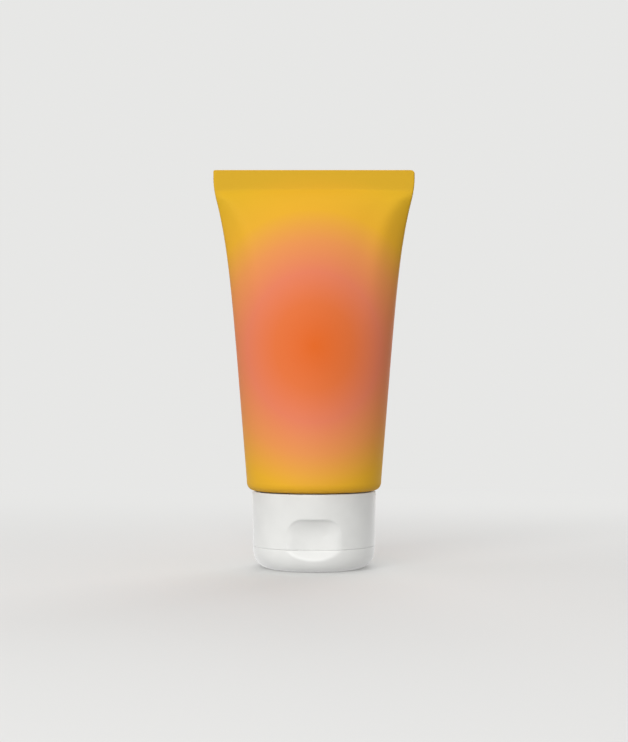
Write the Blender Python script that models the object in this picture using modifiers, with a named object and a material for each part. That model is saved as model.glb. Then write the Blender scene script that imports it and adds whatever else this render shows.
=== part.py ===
"""Flip-top squeeze tube for a lotion, standing on its closed lid.

Metres, +Z up, front towards -Y, origin in the middle of the lid's resting face. A plastic sleeve,
round at the shoulder and pressed flat at its end seal, is welded round a moulded head. The head's
threaded neck screws down into the cap, whose lid swings open at the back on a moulded hinge.
"""

import math

import bmesh
import bpy
from mathutils import Matrix

MM = 0.001

# Fits that all the pieces share
SEAT_GAP = 0.3 * MM
CUT_OVERRUN = 1.0 * MM
MERGE_DISTANCE = 0.01 * MM

# Facets
ROUND_STEPS = 48
SLEEVE_RINGS = 15
BEND_STEPS = 3
SHOULDER_STEPS = 4
SEAL_CORNER_STEPS = 2
RECESS_CORNER_STEPS = 5
LID_STEPS = 8
LID_CAVITY_STEPS = 6
SMOOTH_BELOW_DEGREES = 35

# Colours, in linear red, green and blue, and roughness
SLEEVE_COLOUR = (0.81, 0.31, 0.06)
HEAD_COLOUR = (0.78, 0.76, 0.68)
GASKET_COLOUR = (0.60, 0.63, 0.66)
CAP_COLOUR = (0.74, 0.74, 0.72)
SLEEVE_ROUGHNESS = 0.45
HEAD_ROUGHNESS = 0.50
GASKET_ROUGHNESS = 0.90
CAP_ROUGHNESS = 0.35

# Sleeve: its length is from the underside of the shoulder to the foot of the end seal
TUBE_RADIUS = 22.5 * MM
SLEEVE_WALL = 0.5 * MM
SLEEVE_LENGTH = 101.1 * MM
SLEEVE_HEM = 0.7 * MM
SHOULDER_CORNER = 3.6 * MM
SEAL_HEIGHT = 6.5 * MM
SEAL_CORNER = 1.0 * MM

# Head: shoulder, neck and thread
HEAD_WALL = 1.3 * MM
HEAD_SKIRT = 2.0 * MM
SHOULDER_DROP = 1.5 * MM
NECK_BORE_RADIUS = 6.5 * MM
NECK_WALL = 1.6 * MM
NECK_REACH = 14.9 * MM
NECK_LEAD = 0.4 * MM
THREAD_PITCH = 3.0 * MM
THREAD_DEPTH = 1.0 * MM
THREAD_CLEARANCE = 0.35 * MM
THREAD_START = 1.8 * MM
THREAD_TURNS = 1.5
NUT_THREAD_TURNS = 1.25

# Gasket under the neck's mouth
GASKET_THICKNESS = 1.0 * MM
GASKET_WIDTH = 4.4 * MM

# Cap base: its radius is the tube's less the step at the shoulder
CAP_STEP = 2.1 * MM
CAP_DRAFT = 0.25 * MM
CAP_WALL = 1.3 * MM
CAP_EDGE = 0.3 * MM
DECK_THICKNESS = 1.5 * MM
ORIFICE_RADIUS = 2.5 * MM
SPOUT_WALL = 1.3 * MM
SPOUT_HEIGHT = 2.6 * MM
SNAP_RING_WALL = 1.0 * MM
SNAP_RING_HEIGHT = 1.3 * MM
INNER_SKIRT_CLEARANCE = 2.0 * MM
RIB_THICKNESS = 1.0 * MM
RIB_HEIGHT = 9.5 * MM
RIB_COUNT = 6

# Thumb recess across the front of the base and the lid
RECESS_DEPTH = 2.0 * MM
RECESS_RISE = 9.2 * MM
RECESS_CORNER = 3.4 * MM
RECESS_FILLET = 0.7 * MM
LIP_DEPTH = 1.5 * MM
LIP_HEIGHT = 3.5 * MM

# Lid
LID_HEIGHT = 7.3 * MM
LID_WALL = 1.45 * MM
LID_FLOOR = 1.2 * MM
PIN_CLEARANCE = 0.35 * MM
PIN_PAST_DECK_FACE = 1.0 * MM
PIN_ROUND = 0.8 * MM
SEAL_RING_CLEARANCE = 0.6 * MM
SEAL_RING_WALL = 0.8 * MM
SEAL_RING_HEIGHT = 5.2 * MM
FLOOR_BOSS_STEP = 0.3 * MM

# Moulded hinge at the back
HINGE_STANDOFF = 0.7 * MM
STRAP_THICKNESS = 0.5 * MM
STRAP_REACH = 3.6 * MM
STRAP_WIDTH = 1.9 * MM
WEB_WIDTH = 6.8 * MM
STRAP_SPACE = 1.2 * MM
FOLD_THICKNESS = 0.26 * MM
FOLD_HEIGHT = 0.5 * MM
HINGE_BLOCK_MARGIN = 0.8 * MM

# Shapes, as shares of the sizes that they follow
FLAT_WIDTH_SHARE = 0.96
STEADY_FLARE_SHARE = 0.70
LATE_FLARE_SHARE = 0.30
LATE_FLARE_POWER = 6.3
DEPTH_RISE_POWER = 1.6
DEPTH_FALL_POWER = 0.6
ROUND_POWER = 1.0
LENS_POWER = 1.5
SEAL_GROWTH_POWER = 4.0
RING_CROWDING = 1.8
LID_FLAT_SHARE = 0.71
LID_CORNER_POWER = 2.19
THREAD_BASE_SHARE = 0.50
THREAD_CREST_SHARE = 0.23
THREAD_RAMP_SHARE = 0.12
THREAD_END_SHARE = 0.05

# Levels, from the resting face up
DECK_FACE_Z = LID_HEIGHT + SEAT_GAP
DECK_TOP_Z = DECK_FACE_Z + DECK_THICKNESS
GASKET_Z = DECK_TOP_Z + SEAT_GAP
MOUTH_Z = GASKET_Z + GASKET_THICKNESS + SEAT_GAP
SHOULDER_Z = MOUTH_Z + NECK_REACH
SEAL_FOOT_Z = SHOULDER_Z + SLEEVE_LENGTH
HEAD_FACE_Z = SHOULDER_Z + SLEEVE_WALL + SEAT_GAP
NECK_ROOT_Z = HEAD_FACE_Z - SHOULDER_DROP
CORNER_Z = SHOULDER_Z + SHOULDER_CORNER
PARTING_Z = LID_HEIGHT + SEAT_GAP / 2

# Radii and places that follow from the driving sizes
CORNER_CENTRE_RADIUS = TUBE_RADIUS - SHOULDER_CORNER
SEAL_HALF_WIDTH = FLAT_WIDTH_SHARE * math.pi / 2 * TUBE_RADIUS
NECK_RADIUS = NECK_BORE_RADIUS + NECK_WALL
THREAD_RADIUS = NECK_RADIUS + THREAD_DEPTH
NUT_CREST_RADIUS = NECK_RADIUS + THREAD_CLEARANCE
NUT_ROOT_RADIUS = THREAD_RADIUS + THREAD_CLEARANCE
INNER_SKIRT_RADIUS = NUT_ROOT_RADIUS + CAP_WALL
CAP_RADIUS = TUBE_RADIUS - CAP_STEP
LID_RIM_RADIUS = CAP_RADIUS - LID_WALL
SNAP_RING_RADIUS = LID_RIM_RADIUS - SEAT_GAP
SPOUT_RADIUS = ORIFICE_RADIUS + SPOUT_WALL
PIN_RADIUS = ORIFICE_RADIUS - PIN_CLEARANCE
RECESS_FLOOR = CAP_RADIUS - RECESS_DEPTH
RECESS_HALF_WIDTH = math.sqrt(CAP_RADIUS**2 - RECESS_FLOOR**2)
LIP_FACE = CAP_RADIUS - LIP_DEPTH
LIP_BACKING = LIP_FACE - LID_WALL
HINGE_Y = CAP_RADIUS + HINGE_STANDOFF
HINGE_BLOCK_FACE = HINGE_Y - STRAP_THICKNESS / 2 - SEAT_GAP
HINGE_HALF_WIDTH = WEB_WIDTH / 2 + STRAP_SPACE + STRAP_WIDTH + HINGE_BLOCK_MARGIN
HINGE_BLOCK_REACH = STRAP_REACH + HINGE_BLOCK_MARGIN


def start_scene():
    """An empty scene with one collection for the tube and one for its cutters."""
    for old in list(bpy.data.objects):
        bpy.data.objects.remove(old)
    for name in ("Flip-top tube", "Cutters"):
        collection = bpy.data.collections.new(name)
        bpy.context.scene.collection.children.link(collection)


def plastic(name, colour, roughness):
    """A plain plastic finish for one piece."""
    finish = bpy.data.materials.new(name)
    finish.use_nodes = True
    shader = finish.node_tree.nodes["Principled BSDF"]
    shader.inputs["Base Color"].default_value = (*colour, 1.0)
    shader.inputs["Roughness"].default_value = roughness
    shader.inputs["Metallic"].default_value = 0.0
    return finish


def place(mesh, name, finish=None):
    """A new object: a piece of the tube if it has a finish, and otherwise a cutter."""
    thing = bpy.data.objects.new(name, mesh)
    if finish:
        mesh.materials.append(finish)
        bpy.data.collections["Flip-top tube"].objects.link(thing)
    else:
        bpy.data.collections["Cutters"].objects.link(thing)
        thing.hide_render = True
        thing.display_type = "WIRE"
    return thing


def turned(name, outline, finish=None):
    """A shape turned about Z from (radius, height) points that run down its outer side.

    An outline that starts and ends on the axis is left open there, and any other is a ring's.
    """
    on_axis = outline[0][0] == 0
    ends = len(outline) - 1 if on_axis else len(outline)
    edges = [(i, (i + 1) % len(outline)) for i in range(ends)]
    mesh = bpy.data.meshes.new(name)
    mesh.from_pydata([(radius, 0, z) for radius, z in outline], edges, [])
    thing = place(mesh, name, finish)
    screw = thing.modifiers.new("Turn", "SCREW")
    screw.steps = screw.render_steps = ROUND_STEPS
    screw.use_merge_vertices = True
    screw.merge_threshold = MERGE_DISTANCE
    return thing


def prism(name, outline, start, depth, finish=None):
    """A flat outline of 3-D points at start, filled and pushed along depth."""
    build = bmesh.new()
    corners = [build.verts.new([a + b for a, b in zip(point, start)]) for point in outline]
    face = build.faces.new(corners)
    pushed = bmesh.ops.extrude_face_region(build, geom=[face])
    moved = [item for item in pushed["geom"] if isinstance(item, bmesh.types.BMVert)]
    bmesh.ops.translate(build, verts=moved, vec=depth)
    bmesh.ops.recalc_face_normals(build, faces=build.faces)
    mesh = bpy.data.meshes.new(name)
    build.to_mesh(mesh)
    build.free()
    return place(mesh, name, finish)


def block(name, low, high, turn=0.0):
    """A box between two corners, turned about Z."""
    build = bmesh.new()
    bmesh.ops.create_cube(build, size=1)
    for corner in build.verts:
        for axis in range(3):
            corner.co[axis] = low[axis] if corner.co[axis] < 0 else high[axis]
    mesh = bpy.data.meshes.new(name)
    build.to_mesh(mesh)
    build.free()
    thing = place(mesh, name)
    thing.rotation_euler.z = turn
    return thing


def combine(target, tool, operation):
    """Joins a tool to a piece, cuts it away, or keeps what they share. The tool follows the piece."""
    boolean = target.modifiers.new(tool.name, "BOOLEAN")
    boolean.operation = operation
    boolean.object = tool
    tool.parent = target


def pivot(name, point, carried):
    """An empty on a joint's axis. What it carries stays where it is, and then moves with it."""
    empty = bpy.data.objects.new(name, None)
    bpy.data.collections["Flip-top tube"].objects.link(empty)
    empty.location = point
    for thing in carried:
        thing.parent = empty
        thing.matrix_parent_inverse = Matrix.Translation(point).inverted()
    return empty


def skin(name, rings, finish=None):
    """A closed skin over rings of points that run anticlockwise seen from above."""
    count = len(rings[0])
    faces = [list(reversed(range(count)))]
    for low in range(0, (len(rings) - 1) * count, count):
        high = low + count
        for k in range(count):
            after = (k + 1) % count
            faces.append((low + k, low + after, high + after, high + k))
    last = (len(rings) - 1) * count
    faces.append(list(range(last, last + count)))
    mesh = bpy.data.meshes.new(name)
    mesh.from_pydata([point for ring in rings for point in ring], [], faces)
    mesh.shade_smooth()
    mesh.set_sharp_from_angle(angle=math.radians(SMOOTH_BELOW_DEGREES))
    return place(mesh, name, finish)


def arc(centre, radius, first, last, steps):
    """Points of an arc between two angles in degrees, as (radius, height)."""
    angles = [math.radians(first + (last - first) * i / steps) for i in range(steps + 1)]
    return [(centre[0] + radius * math.cos(a), centre[1] + radius * math.sin(a)) for a in angles]


def section(half_width, half_depth, flat_half, power, z):
    """One ring of the sleeve: an oval or pointed lens, plus the flat thickness of the end seal."""
    ring = []
    for k in range(ROUND_STEPS):
        angle = 2 * math.pi * k / ROUND_STEPS
        side = math.sin(angle)
        y = 0.0
        if k % (ROUND_STEPS // 2):
            y = math.copysign(half_depth * abs(side) ** power + flat_half, side)
        ring.append((half_width * math.cos(angle), y, z))
    return ring


def sleeve_ring(share, inset):
    """A ring of the sleeve at a share of its height, moved in by inset for the inner face."""
    flare = STEADY_FLARE_SHARE * share + LATE_FLARE_SHARE * share**LATE_FLARE_POWER
    half_width = TUBE_RADIUS + (SEAL_HALF_WIDTH - TUBE_RADIUS) * flare
    bulge = TUBE_RADIUS * (1 - share**DEPTH_RISE_POWER) ** DEPTH_FALL_POWER
    flat = SLEEVE_WALL * share**SEAL_GROWTH_POWER
    power = ROUND_POWER + (LENS_POWER - ROUND_POWER) * share**2
    z = CORNER_Z + (SEAL_FOOT_Z - CORNER_Z) * share
    if inset:
        return section(half_width - inset, bulge + flat - inset, 0.0, power, z)
    return section(half_width, bulge, flat, power, z)


def loft_shares(count):
    """Shares of the sleeve's height that crowd together towards the end seal."""
    return [1 - (1 - i / count) ** RING_CROWDING for i in range(1, count + 1)]


def make_sleeve(finish):
    """The sleeve: in under the shoulder, round the corner, and up to the flat end seal."""
    corner = (CORNER_CENTRE_RADIUS, CORNER_Z)
    hem = CORNER_CENTRE_RADIUS - SLEEVE_HEM
    shares = loft_shares(SLEEVE_RINGS)
    inner = [sleeve_ring(share, SLEEVE_WALL) for share in reversed(shares[:-1])]
    for radius, z in arc(corner, SHOULDER_CORNER - SLEEVE_WALL, 0, -90, BEND_STEPS):
        inner.append(section(radius, radius, 0.0, ROUND_POWER, z))
    inner.append(section(hem, hem, 0.0, ROUND_POWER, SHOULDER_Z + SLEEVE_WALL))
    outer = [section(hem, hem, 0.0, ROUND_POWER, SHOULDER_Z)]
    for radius, z in arc(corner, SHOULDER_CORNER, -90, 0, SHOULDER_STEPS):
        outer.append(section(radius, radius, 0.0, ROUND_POWER, z))
    outer += [sleeve_ring(share, 0.0) for share in shares]
    turn_in = (SEAL_HALF_WIDTH - SEAL_CORNER, SEAL_FOOT_Z + SEAL_HEIGHT - SEAL_CORNER)
    for half_width, z in arc(turn_in, SEAL_CORNER, 0, 90, SEAL_CORNER_STEPS):
        outer.append(section(half_width, 0.0, SLEEVE_WALL, ROUND_POWER, z))
    return skin("tube_sleeve", inner + outer, finish)


def thread_ridge(name, root, crest, z_start, turns):
    """A thread ridge wound up a right-handed helix, which fades into its wall at both ends."""
    steps = round(turns * ROUND_STEPS / 2)
    half_base = THREAD_PITCH * THREAD_BASE_SHARE / 2
    half_crest = THREAD_PITCH * THREAD_CREST_SHARE / 2
    points = []
    for i in range(steps + 1):
        share = i / steps
        angle = 2 * math.pi * turns * share
        z = z_start + THREAD_PITCH * turns * share
        full = min(share, 1 - share) / THREAD_RAMP_SHARE
        tip = root + (crest - root) * min(1.0, max(full, THREAD_END_SHARE))
        for radius, half in ((root, half_base), (tip, half_crest)):
            x = radius * math.cos(angle)
            y = radius * math.sin(angle)
            points += [(x, y, z - half), (x, y, z + half)]
    faces = [(0, 1, 3, 2)]
    for i in range(0, steps * 4, 4):
        for a, b in ((0, 2), (2, 3), (3, 1), (1, 0)):
            faces.append((i + a, i + b, i + 4 + b, i + 4 + a))
    last = steps * 4
    faces.append((last, last + 2, last + 3, last + 1))
    build = bmesh.new()
    corners = [build.verts.new(point) for point in points]
    for face in faces:
        build.faces.new([corners[k] for k in face])
    bmesh.ops.recalc_face_normals(build, faces=build.faces)
    mesh = bpy.data.meshes.new(name)
    build.to_mesh(mesh)
    build.free()
    return place(mesh, name)


def make_head(finish):
    """The head: a short skirt inside the sleeve, the shoulder, and the threaded neck."""
    corner = (CORNER_CENTRE_RADIUS, CORNER_Z)
    outer_bend = SHOULDER_CORNER - SLEEVE_WALL - SEAT_GAP
    inner_bend = outer_bend - HEAD_WALL
    skirt_top = CORNER_Z + HEAD_SKIRT
    outline = [(CORNER_CENTRE_RADIUS + outer_bend, skirt_top)]
    outline += arc(corner, outer_bend, 0, -90, BEND_STEPS)
    outline += [
        (NECK_RADIUS, NECK_ROOT_Z),
        (NECK_RADIUS, MOUTH_Z + NECK_LEAD),
        (NECK_RADIUS - NECK_LEAD, MOUTH_Z),
        (NECK_BORE_RADIUS, MOUTH_Z),
        (NECK_BORE_RADIUS, NECK_ROOT_Z + HEAD_WALL),
    ]
    outline += arc(corner, inner_bend, -90, 0, BEND_STEPS)
    outline.append((CORNER_CENTRE_RADIUS + inner_bend, skirt_top))
    head = turned("tube_head", outline, finish)
    buried = NECK_RADIUS - NECK_WALL / 4
    thread = thread_ridge("neck_thread", buried, THREAD_RADIUS, MOUTH_Z + THREAD_START, THREAD_TURNS)
    combine(head, thread, "UNION")
    return head


def make_gasket(finish):
    """The flat ring that the neck's mouth is screwed down on."""
    top = GASKET_Z + GASKET_THICKNESS
    inner = NECK_RADIUS - GASKET_WIDTH
    outline = [(NECK_RADIUS, top), (NECK_RADIUS, GASKET_Z), (inner, GASKET_Z), (inner, top)]
    return turned("gasket_ring", outline, finish)


def recess_outline(margin):
    """The thumb recess seen from the front: square below, with round upper corners."""
    half = RECESS_HALF_WIDTH + margin
    top = DECK_FACE_Z + RECESS_RISE + margin
    corner = RECESS_CORNER + margin
    right = arc((half - corner, top - corner), corner, 0, 90, RECESS_CORNER_STEPS)
    left = arc((corner - half, top - corner), corner, 90, 180, RECESS_CORNER_STEPS)
    return [(x, 0, z) for x, z in right + left]


def make_cap_base(finish):
    """The cap's base: outer skirt, deck with spout and snap ring, and threaded inner skirt."""
    rim_z = SHOULDER_Z - SEAT_GAP
    inner_skirt_z = NECK_ROOT_Z - INNER_SKIRT_CLEARANCE
    rim_radius = CAP_RADIUS + CAP_DRAFT
    snap_z = DECK_FACE_Z - SNAP_RING_HEIGHT
    spout_z = DECK_FACE_Z - SPOUT_HEIGHT
    outline = [
        (rim_radius - CAP_EDGE, rim_z),
        (rim_radius, rim_z - CAP_EDGE),
        (CAP_RADIUS, DECK_FACE_Z + CAP_EDGE),
        (CAP_RADIUS - CAP_EDGE, DECK_FACE_Z),
        (SNAP_RING_RADIUS, DECK_FACE_Z),
        (SNAP_RING_RADIUS, snap_z),
        (SNAP_RING_RADIUS - SNAP_RING_WALL, snap_z),
        (SNAP_RING_RADIUS - SNAP_RING_WALL, DECK_FACE_Z),
        (SPOUT_RADIUS, DECK_FACE_Z),
        (SPOUT_RADIUS, spout_z + CAP_EDGE),
        (SPOUT_RADIUS - CAP_EDGE, spout_z),
        (ORIFICE_RADIUS, spout_z),
        (ORIFICE_RADIUS, DECK_TOP_Z),
        (NUT_ROOT_RADIUS, DECK_TOP_Z),
        (NUT_ROOT_RADIUS, inner_skirt_z),
        (INNER_SKIRT_RADIUS, inner_skirt_z),
        (INNER_SKIRT_RADIUS, DECK_TOP_Z),
        (CAP_RADIUS - CAP_WALL, DECK_TOP_Z),
        (rim_radius - CAP_WALL, rim_z),
    ]
    base = turned("cap_base", outline, finish)
    for part in (*cap_ribs(), recess_backing(), nut_thread(), base_hinge_block()):
        combine(base, part, "UNION")
    floor = (0, -RECESS_FLOOR, 0)
    sink = (0, -RECESS_DEPTH - CUT_OVERRUN, 0)
    low = DECK_FACE_Z - SNAP_RING_HEIGHT - CUT_OVERRUN
    outline = recess_outline(0.0) + [(-RECESS_HALF_WIDTH, 0, low), (RECESS_HALF_WIDTH, 0, low)]
    recess = prism("recess_cut", outline, floor, sink)
    fillet = recess.modifiers.new("Fillet", "BEVEL")
    fillet.width = RECESS_FILLET
    fillet.segments = 2
    combine(base, recess, "DIFFERENCE")
    combine(base, snap_ring_notch(), "DIFFERENCE")
    return base


def cap_ribs():
    """Stiffening ribs between the two skirts, none of them at the front or the back."""
    inner = (NUT_ROOT_RADIUS + INNER_SKIRT_RADIUS) / 2
    outer = CAP_RADIUS - CAP_WALL / 2
    low = (inner, -RIB_THICKNESS / 2, (DECK_FACE_Z + DECK_TOP_Z) / 2)
    high = (outer, RIB_THICKNESS / 2, DECK_TOP_Z + RIB_HEIGHT)
    return [block(f"rib_{k}", low, high, 2 * math.pi * k / RIB_COUNT) for k in range(RIB_COUNT)]


def recess_backing():
    """The wall behind the thumb recess, kept inside the skirt's own wall."""
    low = (DECK_FACE_Z + DECK_TOP_Z) / 2
    half = RECESS_HALF_WIDTH + CAP_WALL
    outline = recess_outline(CAP_WALL) + [(-half, 0, low), (half, 0, low)]
    face = (0, CAP_WALL - RECESS_FLOOR, 0)
    backing = prism("recess_backing", outline, face, (0, -RECESS_DEPTH - CAP_WALL, 0))
    inside = CAP_RADIUS - CAP_WALL / 2
    top = DECK_FACE_Z + RECESS_RISE + CAP_WALL + CUT_OVERRUN
    core = turned("skirt_core", [(0, top), (inside, top), (inside, 0), (0, 0)])
    combine(backing, core, "INTERSECT")
    return backing


def nut_thread():
    """The ridge inside the inner skirt, half a pitch past the neck's own."""
    start = MOUTH_Z + THREAD_START + THREAD_PITCH / 2
    buried = NUT_ROOT_RADIUS + CAP_WALL / 4
    return thread_ridge("nut_thread", buried, NUT_CREST_RADIUS, start, NUT_THREAD_TURNS)


def base_hinge_block():
    """The flat pad on the back of the base that carries the hinge's upper ends."""
    wall = math.sqrt((CAP_RADIUS - CAP_WALL / 2) ** 2 - HINGE_HALF_WIDTH**2)
    low = (-HINGE_HALF_WIDTH, wall, DECK_FACE_Z)
    high = (HINGE_HALF_WIDTH, HINGE_BLOCK_FACE, PARTING_Z + HINGE_BLOCK_REACH)
    return block("base_hinge_block", low, high)


def snap_ring_notch():
    """Takes the snap ring's front away, where the lid's wall bends in behind the lip."""
    half = LID_WALL + math.sqrt(CAP_RADIUS**2 - LIP_FACE**2)
    low = (-half, -CAP_RADIUS - CUT_OVERRUN, DECK_FACE_Z - SNAP_RING_HEIGHT - CUT_OVERRUN)
    high = (half, SEAT_GAP - LIP_BACKING, DECK_FACE_Z + SEAT_GAP / 2)
    return block("snap_ring_notch", low, high)


def lid_side(rim_radius, flat_radius, z_low, z_high, steps):
    """The lid's round corner from rim to floor: a quarter of a superellipse."""
    points = []
    for i in range(steps + 1):
        angle = math.radians(90 * i / steps)
        across = math.cos(angle) ** (2 / LID_CORNER_POWER) if i < steps else 0.0
        down = math.sin(angle) ** (2 / LID_CORNER_POWER)
        radius = flat_radius + (rim_radius - flat_radius) * across
        points.append((radius, z_high - (z_high - z_low) * down))
    return points


def make_lid(finish):
    """The lid: a shallow dish with a thumb lip, a plug pin for the spout and a ring round it."""
    flat = CAP_RADIUS * LID_FLAT_SHARE
    side = lid_side(CAP_RADIUS, flat, 0.0, LID_HEIGHT - CAP_EDGE, LID_STEPS)
    outline = [(0, LID_HEIGHT), (CAP_RADIUS - CAP_EDGE, LID_HEIGHT), *side, (0, 0)]
    lid = turned("flip_lid", outline, finish)
    wall = math.sqrt(LID_RIM_RADIUS**2 - HINGE_HALF_WIDTH**2)
    low = (-HINGE_HALF_WIDTH, wall, PARTING_Z - HINGE_BLOCK_REACH)
    pad = block("lid_hinge_block", low, (HINGE_HALF_WIDTH, HINGE_BLOCK_FACE, LID_HEIGHT))
    combine(lid, pad, "UNION")
    combine(lid, lip_cut(), "DIFFERENCE")
    top = LID_HEIGHT + CUT_OVERRUN
    inner = lid_side(LID_RIM_RADIUS, flat - LID_WALL / 2, LID_FLOOR, LID_HEIGHT, LID_CAVITY_STEPS)
    cavity = turned("lid_cavity", [(0, top), (LID_RIM_RADIUS, top), *inner, (0, LID_FLOOR)])
    half = CAP_RADIUS + CUT_OVERRUN
    low = (-half, -half, LID_FLOOR - CUT_OVERRUN)
    combine(cavity, block("lip_wall", low, (half, -LIP_BACKING, top + CUT_OVERRUN)), "DIFFERENCE")
    combine(lid, cavity, "DIFFERENCE")
    combine(lid, lid_plug(), "UNION")
    return lid


def lip_cut():
    """The slanting cut across the lid's front that leaves a lip for the thumb."""
    lean = (LIP_DEPTH - CAP_EDGE / 2) / LIP_HEIGHT
    past = CUT_OVERRUN
    top = LID_HEIGHT + past
    low = LID_HEIGHT - LIP_HEIGHT - past
    out = -CAP_RADIUS - RECESS_DEPTH
    outline = [
        (0, -LIP_FACE + past * lean, top),
        (0, -LIP_FACE - (LIP_HEIGHT + past) * lean, low),
        (0, out, low),
        (0, out, top),
    ]
    return prism("lip_cut", outline, (-CAP_RADIUS, 0, 0), (2 * CAP_RADIUS, 0, 0))


def lid_plug():
    """The pin that plugs the orifice, and the ring that closes round the spout."""
    tip = DECK_FACE_Z + PIN_PAST_DECK_FACE
    inner = SPOUT_RADIUS + SEAL_RING_CLEARANCE
    outer = inner + SEAL_RING_WALL
    boss = LID_FLOOR + FLOOR_BOSS_STEP
    ring_top = LID_FLOOR + SEAL_RING_HEIGHT
    outline = [
        (0, tip),
        (PIN_RADIUS - PIN_ROUND, tip),
        (PIN_RADIUS, tip - PIN_ROUND),
        (PIN_RADIUS, boss),
        (inner, boss),
        (inner, ring_top),
        (outer, ring_top),
        (outer, LID_FLOOR / 2),
        (0, LID_FLOOR / 2),
    ]
    return turned("lid_plug", outline)


def hinge_strip(name, middle_x, width):
    """A flexible strip across the parting line, thinned at its fold."""
    half = STRAP_THICKNESS / 2
    thin = FOLD_THICKNESS / 2
    rows = [(half, -STRAP_REACH), (half, -FOLD_HEIGHT), (thin, 0), (half, FOLD_HEIGHT), (half, STRAP_REACH)]
    outline = [(0, HINGE_Y + y, PARTING_Z + z) for y, z in rows]
    outline += [(0, HINGE_Y - y, PARTING_Z + z) for y, z in reversed(rows)]
    finish = plastic(name + "_plastic", CAP_COLOUR, CAP_ROUGHNESS)
    return prism(name, outline, (middle_x - width / 2, 0, 0), (width, 0, 0), finish)


def make_hinge():
    """The broad middle web and the two narrow springy straps beside it."""
    offset = WEB_WIDTH / 2 + STRAP_SPACE + STRAP_WIDTH / 2
    hinge_strip("hinge_web", 0, WEB_WIDTH)
    hinge_strip("hinge_strap_left", -offset, STRAP_WIDTH)
    hinge_strip("hinge_strap_right", offset, STRAP_WIDTH)


def make_tube():
    """All the pieces, with an empty on the axis of each joint."""
    sleeve = make_sleeve(plastic("sleeve_plastic", SLEEVE_COLOUR, SLEEVE_ROUGHNESS))
    head = make_head(plastic("head_plastic", HEAD_COLOUR, HEAD_ROUGHNESS))
    gasket = make_gasket(plastic("gasket_foam", GASKET_COLOUR, GASKET_ROUGHNESS))
    make_cap_base(plastic("cap_base_plastic", CAP_COLOUR, CAP_ROUGHNESS))
    lid = make_lid(plastic("flip_lid_plastic", CAP_COLOUR, CAP_ROUGHNESS))
    make_hinge()
    mouth = (0, 0, MOUTH_Z)
    turn = pivot("tube_turn", mouth, [sleeve, head])
    pivot("tube_lift", mouth, [gasket, turn])
    pivot("lid_hinge", (0, HINGE_Y, PARTING_Z), [lid])


start_scene()
make_tube()
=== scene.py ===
"""Looks of a flip-top squeeze tube for a lotion, standing on its closed lid.

Metres, +Z up, front towards -Y. Each piece is a surface over a grid of two parameters, at the
place and size that the frame gives. It replaces the frame's own piece, apart from the cap's ribs,
which are a part of the base there.
"""

import math

import bpy
import numpy as np
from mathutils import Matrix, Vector


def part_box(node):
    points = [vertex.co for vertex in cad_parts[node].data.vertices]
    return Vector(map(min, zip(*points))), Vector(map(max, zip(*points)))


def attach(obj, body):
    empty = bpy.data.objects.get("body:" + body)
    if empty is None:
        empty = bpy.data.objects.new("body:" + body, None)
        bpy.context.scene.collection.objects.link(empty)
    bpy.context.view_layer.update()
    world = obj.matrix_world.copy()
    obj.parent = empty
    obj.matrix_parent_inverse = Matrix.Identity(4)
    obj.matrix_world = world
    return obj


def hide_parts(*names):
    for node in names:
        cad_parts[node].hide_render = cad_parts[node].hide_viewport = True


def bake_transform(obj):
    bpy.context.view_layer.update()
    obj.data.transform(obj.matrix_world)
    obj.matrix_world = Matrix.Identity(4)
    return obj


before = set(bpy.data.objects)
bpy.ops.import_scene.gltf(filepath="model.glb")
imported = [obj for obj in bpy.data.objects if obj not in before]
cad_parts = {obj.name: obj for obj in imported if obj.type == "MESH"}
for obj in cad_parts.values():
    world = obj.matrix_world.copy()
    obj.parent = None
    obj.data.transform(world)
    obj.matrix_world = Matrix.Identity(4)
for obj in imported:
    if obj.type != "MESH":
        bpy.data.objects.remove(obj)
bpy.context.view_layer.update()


# Sleeve: an extruded plastic tube, printed with a soft colour blend. Its foot turns in under the
# head's shoulder and is welded to it, and its other end is pressed flat between hot jaws.
MM = 0.001
SLEEVE_WALL = 0.5 * MM
SLEEVE_HEM = 0.7 * MM
SHOULDER_CORNER = 3.6 * MM
SEAL_HEIGHT = 6.5 * MM
SEAL_CORNER_LEFT = 0.5 * MM
SEAL_CORNER_RIGHT = 1.2 * MM
SEAL_EDGE = 0.15 * MM
SLEEVE_COLUMNS = 320
INNER_ROWS = 48
OUTER_ROWS = 150
OUTER_CROWDING = 1.6
BEND_STEPS = 6
SHOULDER_STEPS = 28
SEAL_ROWS = 8
SEAL_CORNER_ROWS = 9
EDGE_STEPS = 4
STEADY_FLARE_SHARE = 0.70
LATE_FLARE_SHARE = 0.30
LATE_FLARE_POWER = 6.3
DEPTH_RISE_POWER = 1.6
DEPTH_FALL_POWER = 0.6
SEAL_GROWTH_POWER = 4.0
SEAL_LANDING = 2.2 * MM
SIDE_ROUNDING = 4.0 * MM
SHOULDER_POWER = 2.7
LENS_GROWTH = 0.5
FOLD_HEIGHT = 1.5 * MM
FOLD_HALF_WIDTH = 4.2 * MM
FOLD_PLACE = 0.74
FOLD_SPREAD = 0.26
FOLD_TURN = 8.0 * MM
FOLD_START = 4.0 * MM
FOLD_END = 60.0 * MM

# The printed colours, from the middle of the blend outwards, with their distance from it
GLOW_HEIGHT = 73 * MM
GLOW_REACH = 62 * MM
GLOW_SQUEEZE = 1.12
GLOW_ORANGE = (234, 106, 31)
GLOW_WARM = (234, 118, 62)
GLOW_CORAL = (235, 130, 94)
GLOW_APRICOT = (237, 151, 82)
GLOW_YELLOW = (236, 177, 46)
GLOW_GOLD = (226, 178, 40)
GLOW_STOPS_MM = (0, 14, 24.5, 35, 46, 60)
PRINT_GLOSS = 0.1
PRINT_SURFACE = {
    "roughness": 0.50, "variation": 0.06, "patch": 6 * MM, "grain": 0.35 * MM, "height": 0.006 * MM
}

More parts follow.
